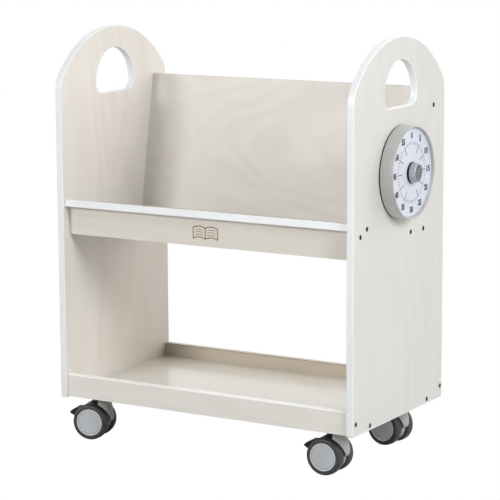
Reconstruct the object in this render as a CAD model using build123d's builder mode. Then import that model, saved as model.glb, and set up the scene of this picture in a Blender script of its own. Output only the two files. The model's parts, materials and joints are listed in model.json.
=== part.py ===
from build123d import *
import math
import os

os.makedirs("parts", exist_ok=True)

# A two-shelf book cart on four braked twin-wheel casters, with a round minute timer on one side panel.
# Millimetres. The origin is on the floor, midway between the side panels and midway front to back.
# +X points to the timer side, -Y to the front, +Z up.

# ---- driving dimensions: cabinet ----
WIDTH = 700.0  # over the two side panels
DEPTH = 400.0  # of a side panel
BOARD = 15.0  # plywood thickness
EDGE_BAND = 2.0  # white edge banding
BAND_ROUND = 1.8  # rounded arris of the banding
PANEL_BOTTOM = 93.0  # side panel's lower edge above the floor
PANEL_HEIGHT = 774.5  # side panel, lower edge to the top of its arch
ARCH_RADIUS = 243.5  # flat middle stretch of the arch
SHOULDER_RADIUS = 62.0  # tighter stretch that runs into the straight sides
FOOT_ROUND = 4.0  # lower corners of the side panel
INNER = WIDTH - 2 * BOARD  # between the side panels
FRONT = -DEPTH / 2

# Hand hole: half a disc on a shallow rounded base.
GRIP_RADIUS = 70.5
GRIP_CENTRE_Z = PANEL_BOTTOM + 657.5
GRIP_DROP = 23.5  # flat lower edge below the half disc's centre
GRIP_CORNER = 22.5

# Lower tray
TRAY_Z = PANEL_BOTTOM + 2.0  # underside of the tray
LIP_HEIGHTS = {"front_lip": 48.0, "rear_lip": 43.5}
FRONT_LIP_Y = FRONT + 6.0
REAR_LIP_Y = -FRONT - 16.0

# Upper shelf and divider share one tilted frame, and stand square to each other.
TILT = 9.8
SHELF_FRONT_Y = FRONT + 7.0
SHELF_FRONT_Z = PANEL_BOTTOM + 416.3
SHELF_RUN = 294.0  # front edge to the divider's face
DIVIDER_RISE = 299.0  # above the shelf's middle plane
DIVIDER_DROP = 24.0  # below it
APRON_Y = FRONT + 22.5
APRON_BOTTOM = PANEL_BOTTOM + 349.0

# ---- driving dimensions: fasteners ----
SCREW_HEAD_R = 5.2
SCREW_R = 2.0
SCREW_LENGTH = 45.0
SCREW_SUNK = 0.3  # head's face below the panel's face
SCREW_SINK_ANGLE = 90.0
SCREW_TIP = 1.6  # chamfer
SOCKET_R = 2.8
SOCKET_DEPTH = 2.6
PILOT_GAP = 0.02  # keeps a fixed pin clear of its hole
END_GAP = 0.5  # a hole goes this much deeper than its pin
DOWEL_R = 4.0
DOWEL_LENGTH = 30.0
DOWEL_IN_PANEL = 10.0
DOWEL_TIP = 0.8

# ---- driving dimensions: casters ----
CASTER_X = 285.0  # swivel axis from the middle of the cart
CASTER_FRONT_Y = -143.5
CASTER_REAR_Y = 119.5
WHEEL_R = 38.5  # at the tread's crown
WHEEL_WIDTH = 24.0
WHEEL_GAP = 1.0  # hood to wheel
HUB_R = 28.5
TREAD_DROP = 1.2  # crown to the tread's outer side
CROWN_PLACE = 0.45  # of the wheel's width, from its inner side
TYRE_ROUND = 6.0  # tread to its outer side
TYRE_INNER_ROUND = 4.0
TYRE_INSET = 0.6  # tyre's sides behind the wheel's sides
TRAIL = 16.0  # swivel axis to axle
AXLE_R = 4.0
AXLE_EDGE = 0.6  # chamfer
AXLE_SHORT = 4.0  # its ends behind the wheels' outer faces
RUNNING_GAP = 0.05
HOOD_WIDTH = 15.0  # between the wheels
HOOD_DISC_R = 33.0  # round middle of the hood, about the axle
HOOD_NOSE_R = 26.0  # front of the hood, about the swivel axis
HOOD_HEAD_R = 20.0
HOOD_TOP = 86.5
HOOD_ARCH_R = 40.5  # clearance over the wheels
HOOD_BOSS_R = 9.0
NOSE_LIP = 4.0  # rounding under the nose
HOOD_ROUND = 1.5  # top edge of the hood
KINGPIN_R = 5.0
KINGPIN_HEAD_R = 8.0
KINGPIN_HEAD_SINK = 4.0
KINGPIN_FOOT = 61.0
KINGPIN_EDGE = 0.8  # chamfer
PLATE_SIDE = 62.0
PLATE_THICK = 2.5
PLATE_CORNER = 6.0
PLATE_HOLE_SPACING = 46.0
PLATE_HOLE_GAP = 0.3  # screw to plate
RACE_R = 17.5
RACE_DEPTH = 5.0
RACE_EDGE = 1.2  # chamfer
PLATE_SCREW_R = 2.2
PLATE_SCREW_LENGTH = 13.5
PLATE_SCREW_HEAD_R = 4.5
PLATE_SCREW_HEAD = 2.6
PLATE_SCREW_ROUND = 1.4
CROSS_LENGTH = 4.4  # cross recess in the head
CROSS_WIDTH = 1.0
CROSS_DEPTH = 1.2
PEDAL_GAP = 0.6  # pedal to hood
PEDAL_WIDTH = 14.4  # between the wheels
PEDAL_R = 37.8  # outside of its crescent, about the axle
PEDAL_CAP_R = 39.2  # underside of its cap, above the axle
PEDAL_TOP = 81.5
PEDAL_CHEEK = 1.5
PEDAL_RING_R = 9.0
TOE_WIDTH = 30.0  # the part that a foot presses

# ---- driving dimensions: timer ----
TIMER_Z = PANEL_BOTTOM + 503.5
TIMER_R = 95.0
TIMER_FRONT_R = 93.0
TIMER_DEPTH = 31.0
TIMER_BACK = 2.5
TIMER_BACK_INSET = 0.6  # backplate inside the casing's edge
SHELL = 2.6
BEZEL_ROUND = 0.6
BEZEL_R = 91.3  # front of the cone that leads down to the dial
DIAL_R = 88.0
DIAL_FACE = 24.5  # dial's front face from the side panel
DIAL_THICK = 1.5
LEDGE_R = 84.0
LEDGE_THICK = 2.0
KNOB_BASE_R = 21.0
KNOB_R = 18.4  # at its front
KNOB_START = 28.5
KNOB_FRONT = 41.0
KNOB_RIM = 2.6
KNOB_DISH = 1.0
KNOB_EDGE = 1.2
MARK_LENGTH = 7.0  # slot at the knob's top that shows where it stands
MARK_WIDTH = 1.8
MARK_DEPTH = 1.8
COLLAR_R = 21.3
COLLAR_GAP = 0.4  # dial to collar
SPINDLE_R = 3.0
SPINDLE_BACK = 12.0
SPINDLE_IN_KNOB = 8.0
SPINDLE_EDGE = 0.5  # chamfer
MOVEMENT_R = 34.0
MOVEMENT_BACK = 8.0
MOVEMENT_EDGE = 1.5  # chamfer
TIMER_SCREW_PCD = 120.0
TIMER_SCREW_R = 1.6
TIMER_SCREW_LENGTH = 12.0
TIMER_SCREW_HEAD_R = 3.0
TIMER_SCREW_HEAD = 2.0
TIMER_SCREW_ROUND = 0.9
TIMER_SCREW_GAP = 0.2  # screw to backplate


def keep(piece, name):
    """Labels a finished sub-part and writes it as one STEP file."""
    piece.part.label = name
    export_step(piece.part, f"parts/{name}.step")


# ---- shared frames and places ----
TILT_FRAME = Plane(
    origin=(-INNER / 2, SHELF_FRONT_Y, SHELF_FRONT_Z),
    x_dir=(0, math.cos(math.radians(TILT)), -math.sin(math.radians(TILT))),
    z_dir=(1, 0, 0),
)
ACROSS = Plane.YZ.offset(-INNER / 2)
TIMER_FRAME = Plane(origin=(WIDTH / 2, 0, TIMER_Z), x_dir=(0, 1, 0), z_dir=(1, 0, 0))


def tilted(run, rise=0.0):
    """The (y, z) of a point in the tilted frame: run back along the shelf, rise square to it."""
    point = TILT_FRAME.from_local_coords((run, rise, 0))
    return point.Y, point.Z


TRAY_MID = TRAY_Z + BOARD / 2
FRONT_LIP_MID = FRONT_LIP_Y + BOARD / 2
REAR_LIP_MID = REAR_LIP_Y + BOARD / 2
APRON_MID = APRON_Y + BOARD / 2
DIVIDER_MID = SHELF_RUN + BOARD / 2

# Where each cross board is screwed and dowelled to the side panels, as (y, z).
SCREW_SPOTS = {
    "lower_shelf": [(FRONT + 74, TRAY_MID), (FRONT + 329, TRAY_MID)],
    "front_lip": [(FRONT_LIP_MID, TRAY_Z + 23)],
    "rear_lip": [(REAR_LIP_MID, TRAY_Z + 23)],
    "shelf_apron": [(APRON_MID, APRON_BOTTOM + 46)],
    "upper_shelf": [tilted(51), tilted(245)],
    "divider_panel": [tilted(DIVIDER_MID, 9), tilted(DIVIDER_MID, 263)],
}
DOWEL_SPOTS = {
    "lower_shelf": [(FRONT + 200, TRAY_MID)],
    "front_lip": [(FRONT_LIP_MID, TRAY_Z + 38)],
    "rear_lip": [(REAR_LIP_MID, TRAY_Z + 34)],
    "shelf_apron": [(APRON_MID, APRON_BOTTOM + 18)],
    "upper_shelf": [tilted(150)],
    "divider_panel": [tilted(DIVIDER_MID, 130)],
}
CASTER_SPOTS = [
    (side * CASTER_X, caster_y) for side in (-1, 1) for caster_y in (CASTER_FRONT_Y, CASTER_REAR_Y)
]
ALL_SCREWS = [spot for spots in SCREW_SPOTS.values() for spot in spots]
ALL_DOWELS = [spot for spots in DOWEL_SPOTS.values() for spot in spots]


def outward(spots, x, side):
    """One place per spot on the plane at x, looking out towards side (-1 left, +1 right)."""
    return [Plane(origin=(x, y, z), x_dir=(0, 1, 0), z_dir=(side, 0, 0)) for y, z in spots]


# ---- side panels ----
def panel_outline(x, inset):
    """The arched side panel's outline on the plane at x, drawn inset inside its true edge."""
    half = DEPTH / 2
    arch_z = PANEL_BOTTOM + PANEL_HEIGHT - ARCH_RADIUS
    shoulder_y = half - SHOULDER_RADIUS
    reach = ARCH_RADIUS - SHOULDER_RADIUS
    shoulder_z = arch_z + math.sqrt(reach**2 - shoulder_y**2)
    turn = math.degrees(math.atan2(shoulder_z - arch_z, shoulder_y))
    low = PANEL_BOTTOM + inset
    with BuildSketch(Plane.YZ.offset(x)) as outline:
        with BuildLine():
            Line((half - inset, low), (half - inset, shoulder_z))
            CenterArc((shoulder_y, shoulder_z), SHOULDER_RADIUS - inset, 0, turn)
            CenterArc((0, arch_z), ARCH_RADIUS - inset, turn, 180 - 2 * turn)
            CenterArc((-shoulder_y, shoulder_z), SHOULDER_RADIUS - inset, 180 - turn, turn)
            Line((inset - half, shoulder_z), (inset - half, low))
            Line((inset - half, low), (half - inset, low))
        make_face()
        fillet(outline.vertices().group_by(Axis.Y)[0], FOOT_ROUND - inset)
    return outline.sketch


def grip_outline(x, grow):
    """The hand hole's outline on the plane at x, grown outward by the given amount."""
    radius = GRIP_RADIUS + grow
    low = GRIP_CENTRE_Z - GRIP_DROP - grow
    with BuildSketch(Plane.YZ.offset(x)) as outline:
        with BuildLine():
            CenterArc((0, GRIP_CENTRE_Z), radius, 0, 180)
            Line((-radius, GRIP_CENTRE_Z), (-radius, low))
            Line((-radius, low), (radius, low))
            Line((radius, low), (radius, GRIP_CENTRE_Z))
        make_face()
        fillet(outline.vertices().group_by(Axis.Y)[0], GRIP_CORNER + grow)
    return outline.sketch


for name, side in (("left", -1), ("right", 1)):
    outer_face = side * WIDTH / 2
    inner_face = side * INNER / 2
    start = min(outer_face, inner_face)

    with BuildPart() as side_panel:
        extrude(panel_outline(start, EDGE_BAND), amount=BOARD)
        extrude(grip_outline(start, EDGE_BAND), amount=BOARD, mode=Mode.SUBTRACT)
        with Locations(*outward(ALL_SCREWS, outer_face, side)):
            CounterSinkHole(
                SCREW_R + PILOT_GAP,
                SCREW_HEAD_R + SCREW_SUNK + PILOT_GAP,
                depth=BOARD,
                counter_sink_angle=SCREW_SINK_ANGLE,
            )
        with Locations(*outward(ALL_DOWELS, inner_face, -side)):
            Hole(DOWEL_R + PILOT_GAP, depth=DOWEL_IN_PANEL + END_GAP)
        if side > 0:
            with Locations(TIMER_FRAME):
                with PolarLocations(TIMER_SCREW_PCD / 2, 3, start_angle=90):
                    Hole(TIMER_SCREW_R + PILOT_GAP, depth=TIMER_SCREW_LENGTH - TIMER_BACK + END_GAP)
    keep(side_panel, f"{name}_side_panel")

    with BuildPart() as panel_band:
        extrude(panel_outline(start, 0), amount=BOARD)
        extrude(panel_outline(start, EDGE_BAND), amount=BOARD, mode=Mode.SUBTRACT)
        for face in (panel_band.faces().sort_by(Axis.X)[0], panel_band.faces().sort_by(Axis.X)[-1]):
            fillet(face.outer_wire().edges(), BAND_ROUND)
    keep(panel_band, f"{name}_panel_edge_band")

    with BuildPart() as grip_band:
        extrude(grip_outline(start, EDGE_BAND), amount=BOARD)
        extrude(grip_outline(start, 0), amount=BOARD, mode=Mode.SUBTRACT)
        for face in (grip_band.faces().sort_by(Axis.X)[0], grip_band.faces().sort_by(Axis.X)[-1]):
            fillet(face.inner_wires()[0].edges(), BAND_ROUND)
    keep(grip_band, f"{name}_hand_hole_edge_band")


# ---- boards between the side panels ----
def cross_board(name, profile, underside=()):
    """A board of the given section, bored at both ends for its screws and dowels, and in its underside."""
    with BuildPart() as board:
        extrude(profile, amount=INNER)
        for side in (-1, 1):
            end = side * INNER / 2
            with Locations(*outward(SCREW_SPOTS[name], end, side)):
                Hole(SCREW_R + PILOT_GAP, depth=SCREW_LENGTH + SCREW_SUNK - BOARD + END_GAP)
            with Locations(*outward(DOWEL_SPOTS[name], end, side)):
                Hole(DOWEL_R + PILOT_GAP, depth=DOWEL_LENGTH - DOWEL_IN_PANEL + END_GAP)
        if underside:
            with Locations(*underside):
                Hole(PLATE_SCREW_R + PILOT_GAP, depth=PLATE_SCREW_LENGTH - PLATE_THICK + END_GAP)
    keep(board, name)


def edge_band(name, plane, across, thick, centre, rounded):
    """A strip of banding of the given section; rounded picks the corners that are exposed."""
    with BuildPart() as band:
        with BuildSketch(plane) as section:
            with Locations(centre):
                Rectangle(across, thick)
            fillet(rounded(section.vertices()), BAND_ROUND)
        extrude(amount=INNER)
    keep(band, name)


# Lower tray: a flat board between two upright lips.
with BuildSketch(ACROSS) as tray_section:
    with Locations(((FRONT_LIP_Y + BOARD + REAR_LIP_Y) / 2, TRAY_MID)):
        Rectangle(REAR_LIP_Y - FRONT_LIP_Y - BOARD, BOARD)
cross_board(
    "lower_shelf",
    tray_section.sketch,
    [
        Plane(origin=(caster_x + dx, caster_y + dy, TRAY_Z), z_dir=(0, 0, -1))
        for caster_x, caster_y in CASTER_SPOTS
        for dx in (-PLATE_HOLE_SPACING / 2, PLATE_HOLE_SPACING / 2)
        for dy in (-PLATE_HOLE_SPACING / 2, PLATE_HOLE_SPACING / 2)
    ],
)

for name, lip_mid in (("front_lip", FRONT_LIP_MID), ("rear_lip", REAR_LIP_MID)):
    core = LIP_HEIGHTS[name] - EDGE_BAND
    with BuildSketch(ACROSS) as lip_section:
        with Locations((lip_mid, TRAY_Z + core / 2)):
            Rectangle(BOARD, core)
    cross_board(name, lip_section.sketch)
    edge_band(
        f"{name}_edge_band",
        ACROSS,
        BOARD,
        EDGE_BAND,
        (lip_mid, TRAY_Z + core + EDGE_BAND / 2),
        lambda corners: corners.group_by(Axis.Y)[-1],
    )

# Upper shelf: slopes down to the divider, with a banded front edge.
with BuildSketch(TILT_FRAME) as shelf_section:
    with Locations(((SHELF_RUN + EDGE_BAND) / 2, 0)):
        Rectangle(SHELF_RUN - EDGE_BAND, BOARD)
cross_board("upper_shelf", shelf_section.sketch)
edge_band(
    "upper_shelf_edge_band",
    TILT_FRAME,
    EDGE_BAND,
    BOARD,
    (EDGE_BAND / 2, 0),
    lambda corners: corners.group_by(Axis.X)[0],
)

# Divider: leans back, square to the shelf, with a banded top edge.
with BuildSketch(TILT_FRAME) as divider_section:
    with Locations((DIVIDER_MID, (DIVIDER_RISE - EDGE_BAND - DIVIDER_DROP) / 2)):
        Rectangle(BOARD, DIVIDER_RISE - EDGE_BAND + DIVIDER_DROP)
cross_board("divider_panel", divider_section.sketch)
edge_band(
    "divider_edge_band",
    TILT_FRAME,
    BOARD,
    EDGE_BAND,
    (DIVIDER_MID, DIVIDER_RISE - EDGE_BAND / 2),
    lambda corners: corners.group_by(Axis.Y)[-1],
)

# Apron: an upright board under the shelf's front, its top bevelled to the shelf's slope.
under_front = (APRON_Y - SHELF_FRONT_Y) / math.cos(math.radians(TILT))
slope = math.tan(math.radians(TILT))
shelf_under = SHELF_FRONT_Z - BOARD / 2 / math.cos(math.radians(TILT))
with BuildSketch(ACROSS) as apron_section:
    with BuildLine():
        Polyline(
            (APRON_Y, APRON_BOTTOM),
            (APRON_Y + BOARD, APRON_BOTTOM),
            (APRON_Y + BOARD, shelf_under - slope * (APRON_Y + BOARD - SHELF_FRONT_Y)),
            (APRON_Y, shelf_under - slope * (APRON_Y - SHELF_FRONT_Y)),
            close=True,
        )
    make_face()
cross_board("shelf_apron", apron_section.sketch)

# ---- fasteners of the cabinet ----
with BuildPart() as one_screw:
    Cylinder(SCREW_R, SCREW_LENGTH, align=(Align.CENTER, Align.CENTER, Align.MAX))
    Cone(
        SCREW_R,
        SCREW_HEAD_R,
        SCREW_HEAD_R - SCREW_R,
        align=(Align.CENTER, Align.CENTER, Align.MAX),
    )
    with BuildSketch():
        RegularPolygon(SOCKET_R, 6)
    extrude(amount=-SOCKET_DEPTH, mode=Mode.SUBTRACT)
    chamfer(one_screw.faces().sort_by(Axis.Z)[0].edges(), SCREW_TIP)

with BuildPart() as panel_screws:
    for side in (-1, 1):
        with Locations(*outward(ALL_SCREWS, side * (WIDTH / 2 - SCREW_SUNK), side)):
            add(one_screw.part)
keep(panel_screws, "panel_screws")

with BuildPart() as one_dowel:
    Cylinder(DOWEL_R, DOWEL_LENGTH, align=(Align.CENTER, Align.CENTER, Align.MAX))
    chamfer(one_dowel.edges().filter_by(GeomType.CIRCLE), DOWEL_TIP)

with BuildPart() as dowels:
    for side in (-1, 1):
        with Locations(*outward(ALL_DOWELS, side * (INNER / 2 + DOWEL_IN_PANEL), side)):
            add(one_dowel.part)
keep(dowels, "alignment_dowels")

# ---- casters, drawn once about the swivel axis: +X is the nose, the axle runs along Y ----
AXLE_PLANE = Plane(origin=(-TRAIL, 0, WHEEL_R), x_dir=(1, 0, 0), z_dir=(0, -1, 0))
AXLE_AXIS = Axis((-TRAIL, 0, WHEEL_R), (0, 1, 0))
WHEEL_INNER = HOOD_WIDTH / 2 + WHEEL_GAP
WHEEL_OUTER = WHEEL_INNER + WHEEL_WIDTH
PLATE_LOW = TRAY_Z - PLATE_THICK
KINGPIN_SEAT = TRAY_Z - KINGPIN_HEAD_SINK
NECK_HEIGHT = PEDAL_CAP_R - PEDAL_GAP  # above the axle
CHEEK_INNER = PEDAL_WIDTH / 2 - PEDAL_CHEEK
CHEEK_START = 102  # degrees about the axle, from straight ahead
CHEEK_TURN = 52
CHEEK_SWEEP = 20  # room for the cheeks to swing in


def axle_point(radius, angle):
    """A point on a circle about the axle, seen from the side, as (ahead, up)."""
    return radius * math.cos(math.radians(angle)), radius * math.sin(math.radians(angle))


def axle_sector(inner, outer, start_angle, turn):
    """A slice of a ring about the axle, seen from the side."""
    with BuildSketch() as sector:
        with BuildLine():
            CenterArc((0, 0), inner, start_angle, turn)
            Line(axle_point(inner, start_angle + turn), axle_point(outer, start_angle + turn))
            CenterArc((0, 0), outer, start_angle, turn)
            Line(axle_point(outer, start_angle), axle_point(inner, start_angle))
        make_face()
    return sector.sketch


with BuildPart() as hood:
    # The nose is turned about the swivel axis, arched over both wheels, and kept only ahead of the axis.
    with BuildSketch(Plane.XZ):
        with BuildLine():
            foot = (HOOD_NOSE_R - NOSE_LIP, WHEEL_R)
            belly = (HOOD_NOSE_R, WHEEL_R + 2 * NOSE_LIP)
            neck = (HOOD_HEAD_R, HOOD_TOP - NOSE_LIP)
            Spline(foot, belly, tangents=[(1, 0.6), (0, 1)])
            Spline(belly, neck, tangents=[(0, 1), (-0.15, 1)])
            Polyline(neck, (HOOD_HEAD_R, HOOD_TOP), (0, HOOD_TOP), (0, WHEEL_R), foot)
        make_face()
    revolve(axis=Axis.Z)
    fillet(hood.faces().sort_by(Axis.Z)[-1].edges(), HOOD_ROUND)
    for side in (-1, 1):
        with BuildSketch(AXLE_PLANE.offset(side * HOOD_WIDTH / 2)):
            Circle(HOOD_ARCH_R)
        extrude(amount=side * HOOD_NOSE_R, mode=Mode.SUBTRACT)
    split(bisect_by=Plane.YZ, keep=Keep.TOP)

    # Round middle about the axle, with a neck and a boss that hold the kingpin.
    with BuildSketch(AXLE_PLANE.offset(-HOOD_WIDTH / 2)):
        Circle(HOOD_DISC_R)
        with Locations((TRAIL - HOOD_BOSS_R / 2, 0)):
            Rectangle(HOOD_BOSS_R, NECK_HEIGHT, align=(Align.CENTER, Align.MIN))
    extrude(amount=HOOD_WIDTH)
    with BuildSketch(Plane.XY.offset(HOOD_TOP)):
        Circle(HOOD_BOSS_R)
    extrude(amount=WHEEL_R + NECK_HEIGHT - END_GAP - HOOD_TOP)

    # Both sides are relieved where the pedal's cheeks swing.
    for side in (-1, 1):
        with BuildSketch(AXLE_PLANE.offset(side * (CHEEK_INNER - PEDAL_GAP / 2))):
            Circle(PEDAL_RING_R + 1)
            add(
                axle_sector(
                    PEDAL_RING_R - 1,
                    HOOD_DISC_R + 1,
                    CHEEK_START - CHEEK_SWEEP / 2,
                    CHEEK_TURN + 1.5 * CHEEK_SWEEP,
                )
            )
        extrude(amount=side * HOOD_WIDTH / 2, mode=Mode.SUBTRACT)
    with Locations(AXLE_PLANE):
        Hole(AXLE_R + PILOT_GAP)
    with Locations((0, 0, HOOD_TOP)):
        Hole(KINGPIN_R + PILOT_GAP, depth=HOOD_TOP - KINGPIN_FOOT + END_GAP)

with BuildPart() as kingpin:
    with BuildSketch(Plane.XY.offset(KINGPIN_FOOT)):
        Circle(KINGPIN_R)
    extrude(amount=KINGPIN_SEAT + 2 * RUNNING_GAP - KINGPIN_FOOT)
    with BuildSketch(Plane.XY.offset(KINGPIN_SEAT + 2 * RUNNING_GAP)):
        Circle(KINGPIN_HEAD_R)
    extrude(amount=KINGPIN_HEAD_SINK - END_GAP)
    chamfer(kingpin.faces().sort_by(Axis.Z)[-1].edges(), KINGPIN_EDGE)

AXLE_LENGTH = 2 * (WHEEL_OUTER - AXLE_SHORT)
with BuildPart() as axle:
    with BuildSketch(AXLE_PLANE.offset(-AXLE_LENGTH / 2)):
        Circle(AXLE_R)
    extrude(amount=AXLE_LENGTH)
    chamfer(axle.edges().filter_by(GeomType.CIRCLE), AXLE_EDGE)

# Brake pedal: turns on the axle. A crescent between the wheels carries a toe behind them and a half-round
# cap over them, and two thin cheeks carry the crescent. Angles are about the axle, in degrees from ahead.
CRESCENT_INNER_R = HOOD_DISC_R + PEDAL_GAP
CRESCENT_START = 80
TOE_INNER_R = WHEEL_R + 1.3
TOE_START = 143
TOE_END = 168
TOE_TIP = (-52, 15)
TOE_SHOULDER = (-44, 22.5)
CAP_AHEAD = TRAIL - HOOD_BOSS_R - 0.8
CAP_BEHIND = TRAIL - HOOD_HEAD_R + 0.5
CAP_HIGH = PEDAL_TOP - WHEEL_R


def toe_edge():
    """Draws the toe's free edge and returns its two ends on the wheels' clearance circle."""
    upper = axle_point(TOE_INNER_R, TOE_START)
    lower = axle_point(TOE_INNER_R, TOE_END)
    Spline(upper, (upper[0] - 6, upper[1] + 1), TOE_SHOULDER, TOE_TIP)
    Spline(TOE_TIP, (TOE_TIP[0] + 6, TOE_TIP[1] - 4), lower)
    return upper, lower


with BuildPart() as brake_pedal:
    with BuildSketch(AXLE_PLANE.offset(-PEDAL_WIDTH / 2)):
        add(axle_sector(CRESCENT_INNER_R, PEDAL_R, CRESCENT_START, TOE_END - CRESCENT_START))
        with BuildLine():
            Polyline(
                (CAP_AHEAD, CRESCENT_INNER_R),
                (CAP_AHEAD, CAP_HIGH),
                (CAP_BEHIND, CAP_HIGH),
                (CAP_BEHIND, CRESCENT_INNER_R + 1),
                close=True,
            )
        make_face()
        with BuildLine():
            upper, lower = toe_edge()
            Polyline(
                lower,
                axle_point(PEDAL_R - 2, TOE_END - 1),
                axle_point(PEDAL_R - 2, TOE_START + 4),
                upper,
            )
        make_face()
    extrude(amount=PEDAL_WIDTH)
    with BuildSketch(AXLE_PLANE.offset(-TOE_WIDTH / 2)):
        with BuildLine():
            toe_edge()
            CenterArc((0, 0), TOE_INNER_R, TOE_START, TOE_END - TOE_START)
        make_face()
    extrude(amount=TOE_WIDTH)
    with BuildSketch(Plane.XY.offset(WHEEL_R + PEDAL_CAP_R)):
        Circle(HOOD_HEAD_R - 0.5)
        with Locations((HOOD_HEAD_R - PEDAL_GAP, 0)):
            Rectangle(2 * HOOD_HEAD_R, 2 * HOOD_HEAD_R, mode=Mode.SUBTRACT)
    extrude(amount=PEDAL_TOP - WHEEL_R - PEDAL_CAP_R)
    with BuildSketch(Plane.XY.offset(WHEEL_R)):
        Circle(HOOD_BOSS_R + PEDAL_GAP)
    extrude(amount=HOOD_TOP - WHEEL_R, mode=Mode.SUBTRACT)
    for side in (-1, 1):
        with BuildSketch(AXLE_PLANE.offset(side * CHEEK_INNER)):
            Circle(PEDAL_RING_R)
            add(axle_sector(PEDAL_RING_R - 1, CRESCENT_INNER_R + 1, CHEEK_START, CHEEK_TURN))
        extrude(amount=side * PEDAL_CHEEK)
    with Locations(AXLE_PLANE):
        Hole(AXLE_R + RUNNING_GAP)

# One wheel of the pair, on the +Y side of the hood. Its sections are (radius, distance along the axle).
WHEEL_SECTION = Plane(origin=(-TRAIL, 0, WHEEL_R), x_dir=(1, 0, 0), z_dir=(0, 0, 1))
BOSS_R = 9.0
BOSS_END = WHEEL_INNER - 0.4
RIM_INNER_R = 25.0
WEB_THICK = 4.5
AXLE_COVER = 3.0  # wheel's outer face to the blind end of its bore
RIM_BACK = WHEEL_INNER + 1.2
CAP_R = HUB_R - 4.5  # disc inside the raised rim

with BuildPart() as wheel_core:
    with BuildSketch(WHEEL_SECTION):
        with BuildLine():
            Polyline(
                (0, WHEEL_OUTER - AXLE_COVER),
                (AXLE_R + RUNNING_GAP, WHEEL_OUTER - AXLE_COVER),
                (AXLE_R + RUNNING_GAP, BOSS_END),
                (BOSS_R, BOSS_END),
                (BOSS_R, WHEEL_OUTER - WEB_THICK),
                (RIM_INNER_R, WHEEL_OUTER - WEB_THICK),
                (RIM_INNER_R, RIM_BACK),
                (HUB_R, RIM_BACK),
                (HUB_R, WHEEL_OUTER - 1),
                (HUB_R - 1, WHEEL_OUTER),
                (CAP_R + 1, WHEEL_OUTER),
                (CAP_R, WHEEL_OUTER - 0.8),
                (0, WHEEL_OUTER - 0.2),
                close=True,
            )
        make_face()
    revolve(axis=AXLE_AXIS)

TYRE_INNER = WHEEL_INNER + TYRE_INSET
TYRE_OUTER = WHEEL_OUTER - TYRE_INSET

with BuildPart() as tyre:
    with BuildSketch(WHEEL_SECTION) as tread:
        with BuildLine():
            ThreePointArc(
                (WHEEL_R - TREAD_DROP / 2, TYRE_INNER),
                (WHEEL_R, WHEEL_INNER + CROWN_PLACE * WHEEL_WIDTH),
                (WHEEL_R - TREAD_DROP, TYRE_OUTER),
            )
            Polyline(
                (WHEEL_R - TREAD_DROP, TYRE_OUTER),
                (HUB_R + PILOT_GAP, TYRE_OUTER),
                (HUB_R + PILOT_GAP, TYRE_INNER),
                (WHEEL_R - TREAD_DROP / 2, TYRE_INNER),
            )
        make_face()
        shoulders = tread.vertices().sort_by(Axis.X)[-2:].sort_by(Axis.Y)
        fillet(shoulders[-1], TYRE_ROUND)
        fillet(shoulders[0], TYRE_INNER_ROUND)
    revolve(axis=AXLE_AXIS)

# Each caster rests turned about its own swivel axis: the last value is its heading, seen from above.
CASTERS = {
    "front_left": Location((-CASTER_X, CASTER_FRONT_Y, 0), (0, 0, 12)),
    "front_right": Location((CASTER_X, CASTER_FRONT_Y, 0), (0, 0, 1)),
    "rear_left": Location((-CASTER_X, CASTER_REAR_Y, 0), (0, 0, -92)),
    "rear_right": Location((CASTER_X, CASTER_REAR_Y, 0), (0, 0, -7)),
}
CASTER_PIECES = {
    "hood": hood.part,
    "kingpin": kingpin.part,
    "axle": axle.part,
    "brake_pedal": brake_pedal.part,
    "rear_wheel": wheel_core.part,
    "rear_tyre": tyre.part,
    "front_wheel": mirror(wheel_core.part, about=Plane.XZ),
    "front_tyre": mirror(tyre.part, about=Plane.XZ),
}
for corner, place in CASTERS.items():
    for piece, shape in CASTER_PIECES.items():
        with BuildPart() as placed:
            with Locations(place):
                add(shape)
        keep(placed, f"{corner}_{piece}")

# Top plates are fixed under the tray; the kingpin's head turns in the plate's seat.
with BuildPart() as one_plate:
    with BuildSketch(Plane.XY.offset(PLATE_LOW)):
        RectangleRounded(PLATE_SIDE, PLATE_SIDE, PLATE_CORNER)
        with GridLocations(PLATE_HOLE_SPACING, PLATE_HOLE_SPACING, 2, 2):
            Circle(PLATE_SCREW_R + PLATE_HOLE_GAP, mode=Mode.SUBTRACT)
    extrude(amount=PLATE_THICK)
    with BuildSketch(Plane.XY.offset(PLATE_LOW - RACE_DEPTH)):
        Circle(RACE_R)
    extrude(amount=RACE_DEPTH)
    chamfer(one_plate.faces().sort_by(Axis.Z)[0].edges(), RACE_EDGE)
    with Locations((0, 0, TRAY_Z)):
        CounterBoreHole(
            KINGPIN_R + RUNNING_GAP,
            KINGPIN_HEAD_R + 2 * RUNNING_GAP,
            KINGPIN_HEAD_SINK,
        )
with BuildPart() as caster_plates:
    with Locations(*CASTER_SPOTS):
        add(one_plate.part)
keep(caster_plates, "caster_plates")

with BuildPart() as plate_screw:
    with BuildSketch(Plane.XY.offset(PLATE_LOW)):
        Circle(PLATE_SCREW_HEAD_R)
    extrude(amount=-PLATE_SCREW_HEAD)
    fillet(plate_screw.faces().sort_by(Axis.Z)[0].edges(), PLATE_SCREW_ROUND)
    with BuildSketch(plate_screw.faces().sort_by(Axis.Z)[0]):
        for turn in (0, 90):
            SlotOverall(CROSS_LENGTH, CROSS_WIDTH, rotation=turn)
    extrude(amount=-CROSS_DEPTH, mode=Mode.SUBTRACT)
    with BuildSketch(Plane.XY.offset(PLATE_LOW)):
        Circle(PLATE_SCREW_R)
    extrude(amount=PLATE_SCREW_LENGTH)
with BuildPart() as caster_screws:
    with Locations(*CASTER_SPOTS):
        with GridLocations(PLATE_HOLE_SPACING, PLATE_HOLE_SPACING, 2, 2):
            add(plate_screw.part)
keep(caster_screws, "caster_screws")

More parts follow.
